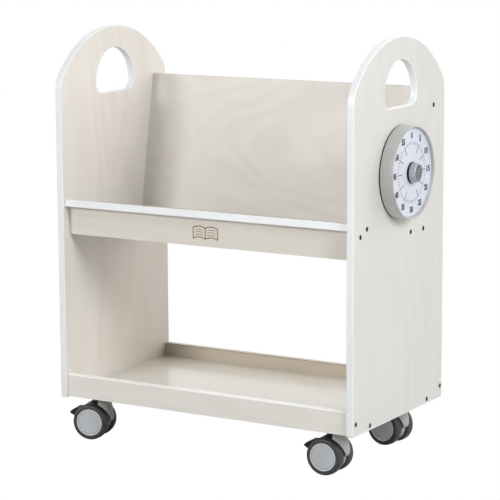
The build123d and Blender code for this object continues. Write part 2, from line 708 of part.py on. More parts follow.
# ---- timer, drawn outwards from the right side panel ----
TIMER_AXIS = Axis(TIMER_FRAME.origin, (1, 0, 0))
TIMER_SECTION = Plane(origin=TIMER_FRAME.origin, x_dir=(0, 0, 1), z_dir=(0, 1, 0))  # (radius, height)
LEDGE = DIAL_FACE - DIAL_THICK

with BuildPart() as timer_backplate:
    with BuildSketch(TIMER_FRAME):
        Circle(TIMER_R - TIMER_BACK_INSET)
    extrude(amount=TIMER_BACK)
    with Locations(TIMER_FRAME.offset(TIMER_BACK)):
        with PolarLocations(TIMER_SCREW_PCD / 2, 3, start_angle=90):
            Hole(TIMER_SCREW_R + TIMER_SCREW_GAP)
keep(timer_backplate, "timer_backplate")

with BuildPart() as timer_housing:
    with BuildSketch(TIMER_SECTION):
        with BuildLine():
            Polyline(
                (TIMER_R, TIMER_BACK),
                (TIMER_FRONT_R, TIMER_DEPTH),
                (BEZEL_R, TIMER_DEPTH),
                (DIAL_R + 0.1, DIAL_FACE),
                (DIAL_R + 0.1, LEDGE),
                (LEDGE_R, LEDGE),
                (LEDGE_R, LEDGE - LEDGE_THICK),
                (TIMER_FRONT_R - SHELL, LEDGE - LEDGE_THICK),
                (TIMER_R - SHELL, TIMER_BACK),
                close=True,
            )
        make_face()
    revolve(axis=TIMER_AXIS)
    fillet(timer_housing.faces().sort_by(Axis.X)[-1].edges(), BEZEL_ROUND)
keep(timer_housing, "timer_housing")

with BuildPart() as timer_dial:
    with BuildSketch(TIMER_FRAME.offset(LEDGE)):
        Circle(DIAL_R)
        Circle(SPINDLE_R + 1, mode=Mode.SUBTRACT)
    extrude(amount=DIAL_THICK)
keep(timer_dial, "timer_dial")

with BuildPart() as timer_movement:
    with BuildSketch(TIMER_FRAME.offset(MOVEMENT_BACK)):
        Circle(MOVEMENT_R)
    extrude(amount=LEDGE - MOVEMENT_BACK)
    chamfer(timer_movement.faces().sort_by(Axis.X)[0].edges(), MOVEMENT_EDGE)
    with Locations(TIMER_FRAME.offset(LEDGE)):
        Hole(SPINDLE_R + RUNNING_GAP, depth=LEDGE - SPINDLE_BACK + END_GAP)
keep(timer_movement, "timer_movement")

with BuildPart() as timer_spindle:
    with BuildSketch(TIMER_FRAME.offset(SPINDLE_BACK)):
        Circle(SPINDLE_R)
    extrude(amount=KNOB_START + SPINDLE_IN_KNOB - SPINDLE_BACK)
    chamfer(timer_spindle.edges().filter_by(GeomType.CIRCLE), SPINDLE_EDGE)
keep(timer_spindle, "timer_spindle")

with BuildPart() as knob_collar:
    with BuildSketch(TIMER_FRAME.offset(DIAL_FACE + COLLAR_GAP)):
        Circle(COLLAR_R)
        Circle(SPINDLE_R + PILOT_GAP, mode=Mode.SUBTRACT)
    extrude(amount=KNOB_START - DIAL_FACE - COLLAR_GAP)
keep(knob_collar, "timer_knob_collar")

with BuildPart() as timer_knob:
    with BuildSketch(TIMER_SECTION):
        with BuildLine():
            Polyline(
                (0, KNOB_START),
                (KNOB_BASE_R, KNOB_START),
                (KNOB_R, KNOB_FRONT),
                (KNOB_R - KNOB_RIM, KNOB_FRONT),
                (KNOB_R - KNOB_RIM - KNOB_DISH, KNOB_FRONT - KNOB_DISH),
                (0, KNOB_FRONT - KNOB_DISH),
                close=True,
            )
        make_face()
    revolve(axis=TIMER_AXIS)
    fillet(timer_knob.faces().filter_by(Axis.X).sort_by(Axis.X)[-1].outer_wire().edges(), KNOB_EDGE)
    with BuildSketch(TIMER_FRAME.offset(KNOB_FRONT)):
        with Locations((0, KNOB_R - KNOB_RIM)):
            SlotOverall(MARK_LENGTH, MARK_WIDTH, rotation=90)
    extrude(amount=-MARK_DEPTH, mode=Mode.SUBTRACT)
    with Locations(TIMER_FRAME.offset(KNOB_START)):
        with Locations(Rotation(180, 0, 0)):
            Hole(SPINDLE_R + PILOT_GAP, depth=SPINDLE_IN_KNOB + END_GAP)
keep(timer_knob, "timer_knob")

with BuildPart() as one_timer_screw:
    Cylinder(TIMER_SCREW_R, TIMER_SCREW_LENGTH, align=(Align.CENTER, Align.CENTER, Align.MAX))
    Cylinder(TIMER_SCREW_HEAD_R, TIMER_SCREW_HEAD, align=(Align.CENTER, Align.CENTER, Align.MIN))
    fillet(one_timer_screw.faces().sort_by(Axis.Z)[-1].edges(), TIMER_SCREW_ROUND)
with BuildPart() as timer_screws:
    with Locations(TIMER_FRAME.offset(TIMER_BACK)):
        with PolarLocations(TIMER_SCREW_PCD / 2, 3, start_angle=90):
            add(one_timer_screw.part)
keep(timer_screws, "timer_screws")
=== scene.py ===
import json
import math

import bmesh
import bpy
from mathutils import Matrix, Vector


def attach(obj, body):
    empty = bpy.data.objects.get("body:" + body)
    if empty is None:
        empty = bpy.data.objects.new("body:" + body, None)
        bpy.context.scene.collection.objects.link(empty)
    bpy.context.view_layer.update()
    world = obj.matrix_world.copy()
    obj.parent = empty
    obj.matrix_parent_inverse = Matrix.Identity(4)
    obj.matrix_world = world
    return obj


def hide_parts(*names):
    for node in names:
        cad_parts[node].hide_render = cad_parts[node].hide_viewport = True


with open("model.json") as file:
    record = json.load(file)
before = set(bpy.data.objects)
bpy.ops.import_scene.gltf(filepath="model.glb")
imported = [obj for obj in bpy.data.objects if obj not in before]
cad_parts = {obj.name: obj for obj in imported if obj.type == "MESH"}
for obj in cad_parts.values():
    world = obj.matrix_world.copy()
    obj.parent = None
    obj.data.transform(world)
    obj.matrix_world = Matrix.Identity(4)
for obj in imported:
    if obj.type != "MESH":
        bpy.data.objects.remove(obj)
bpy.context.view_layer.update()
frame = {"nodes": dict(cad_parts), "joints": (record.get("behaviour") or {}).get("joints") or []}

# A book cart in metres: +X points to the timer side, -Y to the front, +Z up.
# Profiles and other small sizes below are in millimetres, and MM turns them into metres.
MM = 0.001
CORNERS = ("front_left", "front_right", "rear_left", "rear_right")
NODES = frame["nodes"]
JOINTS = {joint["name"]: joint for joint in frame["joints"]}


# ---------------------------------------------------------------- shader building
class Shader:
    """A node material under construction. Its inputs are plain values or other nodes' outputs."""

    def __init__(self, name):
        self.material = bpy.data.materials.new(name)
        self.material.use_nodes = True
        self.tree = self.material.node_tree
        self.surface = self.tree.nodes["Principled BSDF"]
        self.place = self.tree.nodes.new("ShaderNodeTexCoord").outputs["Object"]

    def put(self, socket, value):
        """Links a node output into a socket, or sets the socket's own value."""
        if isinstance(value, bpy.types.NodeSocket):
            self.tree.links.new(value, socket)
        else:
            socket.default_value = value

    def node(self, kind, values, **settings):
        """A new node with its inputs and its settings filled in."""
        made = self.tree.nodes.new(kind)
        for key, value in settings.items():
            setattr(made, key, value)
        for key, value in values.items():
            self.put(made.inputs[key], value)
        return made

    def noise(self, scale, detail, rough, seed=0.0, distortion=0.0):
        """Noise from 0 to 1. Scale is a number of features per metre, or one for each axis."""
        stretch = scale if isinstance(scale, tuple) else (scale, scale, scale)
        mapping = self.node("ShaderNodeMapping", {"Vector": self.place, "Scale": stretch})
        values = {
            "Vector": mapping.outputs[0],
            "W": seed,
            "Scale": 1.0,
            "Detail": detail,
            "Roughness": rough,
            "Distortion": distortion,
        }
        return self.node("ShaderNodeTexNoise", values, noise_dimensions="4D").outputs[0]

    def math(self, operation, a, b=0.0):
        return self.node("ShaderNodeMath", {0: a, 1: b}, operation=operation).outputs[0]

    def total(self, *shares):
        """The sum of (value, weight) pairs."""
        weighted = [self.math("MULTIPLY", value, weight) for value, weight in shares]
        added = weighted[0]
        for value in weighted[1:]:
            added = self.math("ADD", added, value)
        return added

    def span(self, value, low, high, to_low=0.0, to_high=1.0):
        """Maps low..high to to_low..to_high, clamped."""
        values = {
            "Value": value,
            "From Min": low,
            "From Max": high,
            "To Min": to_low,
            "To Max": to_high,
        }
        return self.node("ShaderNodeMapRange", values).outputs[0]

    def mix(self, factor, a, b):
        """A colour from a to b. The sockets 6, 7 and 2 are the node's colour sockets."""
        made = self.node("ShaderNodeMix", {"Factor": factor, 6: a, 7: b}, data_type="RGBA")
        return made.outputs[2]

    def bump(self, height, distance, strength=1.0, under=None):
        """A normal that is raised by the height, in metres at height 1."""
        values = {"Height": height, "Distance": distance, "Strength": strength}
        if under is not None:
            values["Normal"] = under
        return self.node("ShaderNodeBump", values).outputs[0]

    def finish(self, **inputs):
        """Fills in the surface's inputs and returns the material."""
        for key, value in inputs.items():
            self.put(self.surface.inputs[key.replace("_", " ")], value)
        return self.material


def srgb(red, green, blue):
    """A linear colour from 0..255 sRGB values."""
    linear = []
    for value in (red, green, blue):
        value = value / 255
        linear.append(value / 12.92 if value <= 0.04045 else ((value + 0.055) / 1.055) ** 2.4)
    return (*linear, 1.0)


# ---------------------------------------------------------------- materials
FLECK = srgb(160, 140, 112)
SAWN_EDGE = srgb(212, 211, 208)
FIBRE_DEPTH = 0.00005  # metres


def birch(name, along, thickness_axis, pale, warm, seed, gloss=0.35, loops=(5.0, 1.0, 0.3)):
    """Whitewashed birch veneer. Along is the grain's axis, thickness_axis the board's: X, Y or Z.

    Loops sets the figure: features per metre across and along the grain, and how far they wander.
    """
    shader = Shader(name)

    def stretched(across, lengthways):
        """Features per metre across and along the grain, as one number for each axis."""
        scale = [across] * 3
        scale[along] = lengthways
        return tuple(scale)

    across, lengthways, wander = loops
    drift = shader.noise(stretched(3.0, 0.9), 2.0, 0.5, seed=seed)
    figure = shader.noise(stretched(across, lengthways), 2.0, 0.4, seed + 3.0, wander)
    rings = shader.math("PINGPONG", shader.math("MULTIPLY", figure, 11.0), 0.5)
    rings = shader.span(rings, 0.02, 0.42)
    streaks = shader.noise(stretched(60.0, 2.0), 4.0, 0.6, seed=seed + 7.0)
    fibres = shader.noise(stretched(620.0, 14.0), 3.0, 0.6, seed=seed + 11.0)
    specks = shader.noise(stretched(900.0, 70.0), 1.0, 0.4, seed=seed + 17.0)
    flecks = shader.span(specks, 0.66, 0.74)

    tone = shader.total((rings, 0.20), (streaks, 0.30), (fibres, 0.20), (drift, 0.50))
    colour = shader.mix(shader.span(tone, 0.30, 0.90), warm, pale)
    colour = shader.mix(shader.math("MULTIPLY", flecks, 0.10), colour, FLECK)

    # Sawn and routed faces, square to the veneer, carry the same white lacquer as the banding.
    geometry = shader.node("ShaderNodeNewGeometry", {})
    normal = shader.node("ShaderNodeSeparateXYZ", {0: geometry.outputs["True Normal"]})
    facing = shader.math("ABSOLUTE", normal.outputs[thickness_axis])
    edge = shader.span(facing, 0.55, 0.35)
    colour = shader.mix(shader.math("MULTIPLY", edge, 0.4), colour, SAWN_EDGE)

    grain = shader.bump(shader.math("SUBTRACT", fibres, flecks), FIBRE_DEPTH, 0.3)
    lacquer = shader.span(shader.noise(40.0, 3.0, 0.6, seed=seed), 0.3, 0.7, 0.30, 0.38)
    roughness = shader.math("ADD", lacquer, shader.math("MULTIPLY", fibres, 0.06))
    return shader.finish(
        Base_Color=colour,
        Roughness=roughness,
        Normal=grain,
        Specular_IOR_Level=0.5,
        Coat_Weight=gloss,
        Coat_Roughness=0.14,
    )


def plain_plastic(name, dark, light, roughness, spec=0.45, round_edge=0.0):
    """Moulded plastic with a fine eroded texture and slow changes of tone.

    Round_edge is the radius, in metres, that sharp edges are shaded with.
    """
    shader = Shader(name)
    clouds = shader.noise(28.0, 3.0, 0.55, seed=2.0)
    pits = shader.noise(900.0, 2.0, 0.5, seed=5.0)
    scuffs = shader.span(shader.noise((60.0, 420.0, 420.0), 4.0, 0.65, seed=9.0), 0.58, 0.78)
    tone = shader.total((clouds, 0.7), (pits, 0.3))
    colour = shader.mix(shader.span(tone, 0.3, 0.7), dark, light)
    wear = shader.math("ADD", clouds, shader.math("MULTIPLY", scuffs, 0.3))
    rough = shader.span(wear, 0.3, 0.9, *roughness)
    under = None
    if round_edge:
        under = shader.node("ShaderNodeBevel", {"Radius": round_edge}, samples=6).outputs[0]
    return shader.finish(
        Base_Color=colour,
        Roughness=rough,
        Specular_IOR_Level=spec,
        Normal=shader.bump(pits, 0.00004, 0.5, under),
    )


def banding(name, worn, fresh):
    """White edge banding with a faint orange-peel lacquer."""
    shader = Shader(name)
    peel = shader.noise(260.0, 2.0, 0.5, seed=1.0)
    rub = shader.span(shader.noise(9.0, 5.0, 0.6, seed=4.0), 0.35, 0.7)
    colour = shader.mix(rub, worn, fresh)
    return shader.finish(
        Base_Color=colour,
        Roughness=shader.span(peel, 0.3, 0.7, 0.27, 0.36),
        Normal=shader.bump(peel, 0.00005, 0.35),
        Coat_Weight=0.15,
        Coat_Roughness=0.2,
    )


def rubber():
    """Charcoal tyre rubber with dust in its pores."""
    shader = Shader("tyre_rubber")
    pores = shader.noise(1400.0, 3.0, 0.6, seed=3.0)
    dust = shader.span(shader.noise(70.0, 5.0, 0.65, seed=8.0), 0.45, 0.8)
    colour = shader.mix(dust, srgb(50, 50, 54), srgb(70, 70, 75))
    colour = shader.mix(shader.math("MULTIPLY", pores, 0.25), colour, srgb(28, 28, 32))
    return shader.finish(
        Base_Color=colour,
        Roughness=shader.span(dust, 0.0, 1.0, 0.42, 0.6),
        Specular_IOR_Level=0.4,
        Sheen_Weight=0.04,
        Normal=shader.bump(pores, 0.00006, 0.5),
    )


def zinc(name, dark, light, roughness, metallic):
    """Plated steel in a light or a dark tone, with a faint brushed direction and cloudy patches."""
    shader = Shader(name)
    brush = shader.noise((1800.0, 1800.0, 90.0), 3.0, 0.6, seed=2.0)
    patch = shader.noise(90.0, 4.0, 0.6, seed=6.0)
    return shader.finish(
        Base_Color=shader.mix(shader.span(patch, 0.35, 0.65), dark, light),
        Metallic=metallic,
        Roughness=shader.span(brush, 0.3, 0.7, *roughness),
        Normal=shader.bump(brush, 0.00003, 0.4),
    )


def silver_paint(name, dark, light):
    """Satin silver paint on the timer's casing, spun round the dial's axis."""
    shader = Shader(name)
    flake = shader.noise(2400.0, 2.0, 0.5, seed=3.0)
    ring = shader.noise((700.0, 12.0, 12.0), 3.0, 0.55, seed=5.0)
    colour = shader.mix(shader.span(flake, 0.35, 0.65), dark, light)
    return shader.finish(
        Base_Color=colour,
        Metallic=0.25,
        Roughness=shader.span(ring, 0.3, 0.7, 0.34, 0.46),
        Specular_IOR_Level=0.5,
        Normal=shader.bump(ring, 0.00003, 0.3),
    )


def dial_card():
    """Printed white dial with a barely cool tint."""
    shader = Shader("dial_card")
    fibre = shader.noise(500.0, 3.0, 0.6, seed=2.0)
    cloud = shader.noise(14.0, 2.0, 0.5, seed=7.0)
    colour = shader.mix(shader.span(cloud, 0.3, 0.7), srgb(192, 196, 207), srgb(200, 204, 213))
    return shader.finish(
        Base_Color=colour,
        Roughness=shader.span(fibre, 0.3, 0.7, 0.42, 0.52),
        Normal=shader.bump(fibre, 0.00002, 0.3),
    )


def ink(name, colour, pale):
    """Screen-printed ink, a little uneven where it soaked in."""
    shader = Shader(name)
    soak = shader.noise(1500.0, 3.0, 0.6, seed=4.0)
    return shader.finish(
        Base_Color=shader.mix(shader.span(soak, 0.35, 0.75), colour, pale),
        Roughness=shader.span(soak, 0.3, 0.7, 0.5, 0.62),
    )


def turned_metal(name, dark, light):
    """Satin metal, turned round the dial's axis."""
    shader = Shader(name)
    lines = shader.noise((2600.0, 60.0, 60.0), 2.0, 0.5, seed=1.0)
    cloud = shader.noise(60.0, 3.0, 0.5, seed=6.0)
    colour = shader.mix(shader.span(cloud, 0.3, 0.7), dark, light)
    return shader.finish(
        Base_Color=colour,
        Metallic=0.7,
        Roughness=shader.span(lines, 0.3, 0.7, 0.28, 0.4),
        Normal=shader.bump(lines, 0.00003, 0.35),
    )


def beech():
    """Raw fluted beech, for the dowels inside the joints."""
    shader = Shader("raw_beech")
    fibre = shader.noise((60.0, 1600.0, 1600.0), 3.0, 0.6, seed=5.0)
    colour = shader.mix(fibre, srgb(176, 138, 92), srgb(214, 182, 138))
    return shader.finish(Base_Color=colour, Roughness=0.7, Normal=shader.bump(fibre, 0.00005, 0.5))


X, Y, Z = 0, 1, 2
MOULDED_EDGE = 0.0012  # metres
finishes = {
    "panel_birch": birch("panel_birch", Z, X, srgb(222, 217, 211), srgb(211, 204, 195), 1.0),
    # A darker, cooler copy of the side panels' birch for the right panel: painted shade, set
    # against the strong key light on its outer face.
    "panel_birch_right_painted_shade": birch(
        "panel_birch_right_painted_shade", Z, X, srgb(205, 203, 200), srgb(198, 195, 190), 31.0
    ),
    "shelf_birch": birch(
        "shelf_birch", X, Z, srgb(211, 209, 203), srgb(201, 197, 189), 12.0, gloss=0.8
    ),
    "divider_birch": birch(
        "divider_birch", X, Y, srgb(220, 216, 210), srgb(209, 203, 193), 23.0, loops=(4.2, 2.2, 0.7)
    ),
    "apron_birch": birch("apron_birch", X, Y, srgb(212, 208, 200), srgb(201, 195, 183), 52.0),
    "lip_birch": birch("lip_birch", X, Y, srgb(225, 222, 217), srgb(215, 210, 202), 67.0),
    # A darker, browner copy of the birch for the rear lip: painted shade, as the lip sits in shade
    # under the shelf.
    "rear_birch_painted_shade": birch("rear_birch_painted_shade", X, Y, srgb(203, 191, 175), srgb(193, 179, 162), 41.0),
    # A still darker birch for the rear lip's top edge band: a painted line of shade along that
    # edge.
    "rear_band_painted_shade": birch(
        "rear_band_painted_shade", X, Y, srgb(158, 146, 130), srgb(146, 134, 118), 47.0, gloss=0.1
    ),
    "banding": banding("white_banding", srgb(220, 222, 224), srgb(227, 229, 231)),
    # A brighter copy of the white banding for the front lip: a painted highlight along the lip's
    # top edge.
    "lip_banding_painted_highlight": banding("lip_banding_painted_highlight", srgb(237, 236, 232), srgb(243, 242, 238)),
    "rubber": rubber(),
    "hub": plain_plastic("hub_plastic", srgb(174, 177, 179), srgb(185, 188, 190), (0.34, 0.5)),
    # A lighter copy of the hub's plastic: a painted highlight on the ring at the hub face's edge.
    "hub_ring_painted_highlight": plain_plastic(
        "hub_ring_plastic_painted_highlight", srgb(192, 194, 197), srgb(204, 206, 209), (0.3, 0.45)
    ),
    "hood": plain_plastic(
        "hood_plastic",
        srgb(152, 151, 148),
        srgb(172, 171, 168),
        (0.36, 0.52),
        round_edge=MOULDED_EDGE,
    ),
    "black": plain_plastic(
        "black_plastic",
        srgb(13, 13, 15),
        srgb(23, 23, 26),
        (0.45, 0.6),
        spec=0.25,
        round_edge=MOULDED_EDGE,
    ),
    "zinc": zinc("zinc_plate", srgb(150, 150, 150), srgb(196, 196, 194), (0.26, 0.42), 1.0),
    "dark_steel": zinc("dark_steel", srgb(44, 41, 39), srgb(74, 70, 66), (0.34, 0.5), 0.5),
    "casing": silver_paint("silver_casing", srgb(183, 183, 181), srgb(199, 199, 197)),
    # A darker, bluer copy of the casing's silver: painted shade on the cone inside the rim.
    "painted_shade_bezel": silver_paint("silver_bezel_painted_shade", srgb(161, 162, 168), srgb(177, 178, 184)),
    "dial": dial_card(),
    "ink": ink("dial_ink", srgb(9, 10, 18), srgb(22, 24, 34)),
    "mark_ink": ink("mark_ink", srgb(122, 88, 62), srgb(142, 110, 84)),
    "knob": turned_metal("turned_knob", srgb(172, 174, 179), srgb(190, 192, 197)),
    # A darker copy of the knob's metal: painted shade in the dished face.
    "knob_face_painted_shade": turned_metal("knob_face_painted_shade", srgb(124, 126, 132), srgb(142, 144, 150)),
    "beech": beech(),
}


# ---------------------------------------------------------------- shapes
def soften(points, radii, closed=False, steps=5):
    """Rounds the corners of a polyline. Radii is one size for all corners, or one for each.

    A corner never takes up more than half of the line on either side of it.
    """
    count = len(points)
    sizes = [radii] * count if isinstance(radii, (int, float)) else radii
    outline = []
    for i, size in enumerate(sizes):
        corner = Vector(points[i])
        if size <= 0 or (not closed and i in (0, count - 1)):
            outline.append(corner)
            continue
        to_last = Vector(points[i - 1]) - corner
        to_next = Vector(points[(i + 1) % count]) - corner
        half = to_last.angle(to_next) / 2
        cut = min(size / math.tan(half), 0.49 * to_last.length, 0.49 * to_next.length)
        start = corner + to_last.normalized() * cut
        end = corner + to_next.normalized() * cut
        weight = math.sin(half)
        for step in range(steps + 1):
            t = step / steps
            shares = ((1 - t) ** 2, 2 * weight * t * (1 - t), t * t)
            point = shares[0] * start + shares[1] * corner + shares[2] * end
            outline.append(point / sum(shares))
    return outline


def mesh_of(shape, name):
    """Turns a finished bmesh into a mesh and frees it."""
    mesh = bpy.data.meshes.new(name)
    shape.to_mesh(mesh)
    shape.free()
    return mesh


def raised_face(shape, top, low):
    """Adds a face through the top points, with walls down to the low points."""
    upper = [shape.verts.new(point) for point in top]
    lower = [shape.verts.new(point) for point in low]
    shape.faces.new(upper)
    for i in range(len(upper)):
        j = (i + 1) % len(upper)
        shape.faces.new((upper[i], lower[i], lower[j], upper[j]))


def make_piece(name, mesh, finish, body, smooth_angle=32.0, stands_for=()):
    """Wraps a mesh in an object that rides on a CAD body."""
    for face in mesh.polygons:
        face.use_smooth = True
    mesh.set_sharp_from_angle(angle=math.radians(smooth_angle))
    mesh.materials.append(finishes[finish])
    piece = bpy.data.objects.new(name, mesh)
    bpy.context.scene.collection.objects.link(piece)
    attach(piece, body)
    if stands_for:
        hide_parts(*stands_for)


def turned(profile, centre, axis, closed=False, segments=96):
    """A profile of (radius, distance) in millimetres, turned about an axis through the centre."""
    along = Vector(axis).normalized()
    side = along.orthogonal().normalized()
    other = along.cross(side)
    shape = bmesh.new()
    rings = []
    for radius, distance in profile:
        middle = Vector(centre) + along * distance * MM
        if radius == 0:
            rings.append([shape.verts.new(middle)])
            continue
        ring = []
        for i in range(segments):
            turn = math.tau * i / segments
            spoke = side * math.cos(turn) + other * math.sin(turn)
            ring.append(shape.verts.new(middle + spoke * radius * MM))
        rings.append(ring)
    pairs = list(zip(rings, rings[1:])) + ([(rings[-1], rings[0])] if closed else [])
    for a, b in pairs:
        for i in range(segments):
            j = (i + 1) % segments
            corners = [a[i % len(a)], b[i % len(b)], b[j % len(b)], a[j % len(a)]]
            corners = list(dict.fromkeys(corners))
            if len(corners) > 2:
                shape.faces.new(corners)
    bmesh.ops.recalc_face_normals(shape, faces=shape.faces)
    return mesh_of(shape, "turned")


# ---------------------------------------------------------------- CAD nodes that stay as they are
def dress(node, finish):
    """Gives a CAD node its material."""
    data = NODES[node].data
    data.materials.clear()
    data.materials.append(finishes[finish])


dress("left_side_panel", "panel_birch")
dress("right_side_panel", "panel_birch_right_painted_shade")
for node in ("upper_shelf", "lower_shelf"):
    dress(node, "shelf_birch")
dress("divider_panel", "divider_birch")
dress("shelf_apron", "apron_birch")
dress("front_lip", "lip_birch")
dress("rear_lip", "rear_birch_painted_shade")
# Some edge bands are not dressed in the white banding: the divider's top edge takes the divider's
# birch and the rear lip's a dark birch, as painted shade along those edges, and the front lip's a
# brighter banding, as a painted highlight.
BANDS = {
    "divider_edge_band": "divider_birch",
    "rear_lip_edge_band": "rear_band_painted_shade",
    "front_lip_edge_band": "lip_banding_painted_highlight",
}
for node in NODES:
    if node.endswith("edge_band"):
        dress(node, BANDS.get(node, "banding"))
for node in ("caster_screws", "timer_screws", "caster_plates", "timer_spindle"):
    dress(node, "zinc")
dress("panel_screws", "dark_steel")
dress("alignment_dowels", "beech")
dress("timer_backplate", "black")
dress("timer_movement", "hood")
dress("timer_dial", "dial")
for corner in CORNERS:
    dress(f"{corner}_kingpin", "zinc")
    dress(f"{corner}_axle", "zinc")
    dress(f"{corner}_hood", "hood")
    dress(f"{corner}_brake_pedal", "black")


# ---------------------------------------------------------------- caster wheels
# Sections are (radius, distance along the axle from the middle of the pair).
HALF_PAIR = 32.5  # to a wheel's outer face
HALF_GAP = 8.5  # to its inner face
TREAD_R = 38.5
HUB_R = 28.5
RIM_INNER_R = 25.0
BOSS_R = 9.0
BORE_R = 4.05
WEB_BACK = HALF_PAIR - 4.5

TYRE = soften(
    [
        (HUB_R, HALF_GAP + 0.8),
        (TREAD_R - 1.2, HALF_GAP + 0.6),
        (TREAD_R, HALF_GAP + 11.0),
        (TREAD_R - 1.0, HALF_PAIR - 0.6),
        (HUB_R, HALF_PAIR - 0.4),
    ],
    [0, 4.5, 30.0, 6.0, 0],
    steps=8,
)
RING = soften(
    [
        (HUB_R + 0.15, HALF_PAIR - 3.0),
        (HUB_R + 0.15, HALF_PAIR + 0.1),
        (HUB_R - 2.2, HALF_PAIR),
        (HUB_R - 2.7, HALF_PAIR - 0.9),
    ],
    [0, 0.7, 0.5, 0],
)
HUB_FACE = soften(
    [
        (0.0, HALF_PAIR - 0.1),
        (14.0, HALF_PAIR - 0.35),
        (HUB_R - 3.9, HALF_PAIR - 0.8),
        (HUB_R - 2.5, HALF_PAIR - 1.6),
    ],
    [0, 30.0, 1.0, 0],
)
HUB_BACK = soften(
    [
        (HUB_R - 0.1, HALF_PAIR - 2.8),
        (HUB_R - 0.1, HALF_GAP + 1.2),
        (RIM_INNER_R, HALF_GAP + 1.2),
        (RIM_INNER_R, WEB_BACK),
        (BOSS_R, WEB_BACK),
        (BOSS_R, HALF_GAP - 0.4),
        (BORE_R, HALF_GAP - 0.4),
    ],
    [0, 0.5, 0.5, 1.5, 1.5, 0.5, 0],
)


def make_wheel(corner, which):
    """One wheel of a pair: its tyre, the face and rim that show, and the back of its hub. The rim
    is a lighter plastic, as a painted highlight.
    """
    joint = JOINTS[f"{corner}_{which}_wheel_spin"]
    outward = 1.0 if which == "rear" else -1.0
    axis = Vector(joint["axis"]) * outward
    name = f"{corner}_{which}"
    for piece, section, finish, stands_for in (
        ("tread", TYRE, "rubber", [f"{name}_tyre"]),
        ("hub_face", HUB_FACE, "hub", [f"{name}_wheel"]),
        ("hub_ring_painted_highlight", RING, "hub_ring_painted_highlight", []),
        ("hub_back", HUB_BACK, "hub", []),
    ):
        mesh = turned(section, joint["pos_m"], axis)
        make_piece(f"{name}_{piece}", mesh, finish, joint["child"], stands_for=stands_for)


for corner in CORNERS:
    for which in ("front", "rear"):
        make_wheel(corner, which)


# ---------------------------------------------------------------- timer
# Sections are (radius, distance from the side panel).
PANEL_FACE = 0.350  # the side panel's outer face, in metres
KNOB_PLACE = Vector(JOINTS["timer_knob_turn"]["pos_m"])
TIMER_CENTRE = Vector((PANEL_FACE, KNOB_PLACE.y, KNOB_PLACE.z))
OUT = Vector((1.0, 0.0, 0.0))
CASING_SEGMENTS = 160
DIAL_FACE = 24.5
DIAL_R = 88.1
CASING_FRONT = 31.0
LEDGE_R = 84.0

CASING = soften(
    [
        (92.4, 2.5),
        (95.0, 2.5),
        (93.0, CASING_FRONT),
        (91.3, CASING_FRONT),
        (DIAL_R, DIAL_FACE),
        (DIAL_R, 23.0),
        (LEDGE_R, 23.0),
        (LEDGE_R, 21.0),
        (90.4, 21.0),
    ],
    [0, 0.8, 0.7, 0.5, 0, 0, 0.3, 0.3, 0],
    closed=True,
)
# A thin cone laid on the casing's own cone down to the dial; it carries a darker silver as painted
# shade.
PAINTED_SHADE_BEZEL = [(91.1, 30.5), (87.9, DIAL_FACE), (DIAL_R, DIAL_FACE - 0.1), (91.3, 30.4)]
COLLAR = soften([(3.1, 24.9), (21.3, 24.9), (21.3, 28.4), (3.1, 28.4)], [0, 0.4, 0.4, 0])
KNOB = soften(
    [(3.0, 28.5), (20.9, 28.5), (18.4, 41.0), (16.6, 41.0), (15.8, 39.8)],
    [0, 0.7, 1.4, 0.6, 0],
)
KNOB_FACE = soften([(16.2, 40.1), (15.2, 39.9), (0.0, 39.7)], [0, 0.6, 0])

# The mark on the knob's face, as (across, up) from the dial's axis.
KNOB_MARK = [(-1.1, 9.8), (1.1, 9.8), (1.1, 15.6), (-1.1, 15.6)]
KNOB_MARK_ROUND = 0.95
KNOB_MARK_TOP = 40.4
KNOB_MARK_LOW = 39.5


def make_casing():
    """The silver casing, and a thin cone laid inside it down to the dial in a darker silver, as
    painted shade.
    """
    casing = turned(CASING, TIMER_CENTRE, OUT, True, CASING_SEGMENTS)
    make_piece("timer_casing", casing, "casing", "cart", stands_for=["timer_housing"])
    painted_shade_bezel = turned(PAINTED_SHADE_BEZEL, TIMER_CENTRE, OUT, True, CASING_SEGMENTS)
    make_piece("timer_bezel_painted_shade", painted_shade_bezel, "painted_shade_bezel", "cart")


def make_knob():
    """The knob's cap, dished face, skirt and mark, all on the body that turns; the face is a darker
    metal, as painted shade.
    """
    for piece, section, finish, stands_for in (
        ("timer_knob_cap", KNOB, "knob", ["timer_knob"]),
        ("timer_knob_face_painted_shade", KNOB_FACE, "knob_face_painted_shade", []),
        ("timer_knob_skirt", COLLAR, "black", ["timer_knob_collar"]),
    ):
        mesh = turned(section, TIMER_CENTRE, OUT)
        make_piece(piece, mesh, finish, "timer_knob", stands_for=stands_for)

    shape = bmesh.new()
    outline = soften(KNOB_MARK, KNOB_MARK_ROUND, closed=True, steps=4)
    top, low = (
        [TIMER_CENTRE + Vector((height, *point)) * MM for point in outline]
        for height in (KNOB_MARK_TOP, KNOB_MARK_LOW)
    )
    raised_face(shape, top, low)
    bmesh.ops.recalc_face_normals(shape, faces=shape.faces)
    make_piece("timer_knob_mark", mesh_of(shape, "knob_mark"), "black", "timer_knob")


PRINT_TOP = 0.12  # ink above the dial's face
PRINT_THICK = 0.1
TICK_OUTER = 62.0
LONG_TICK = (42.0, 0.8)  # inner end and half width
SHORT_TICK = (55.5, 0.5)


def on_dial(radius, turn, height=0.0):
    """A point on the dial: turn is clockwise from the top as seen from outside, in turns."""
    angle = math.tau * turn
    place = Vector((DIAL_FACE + height, radius * math.sin(angle), radius * math.cos(angle)))
    return TIMER_CENTRE + place * MM


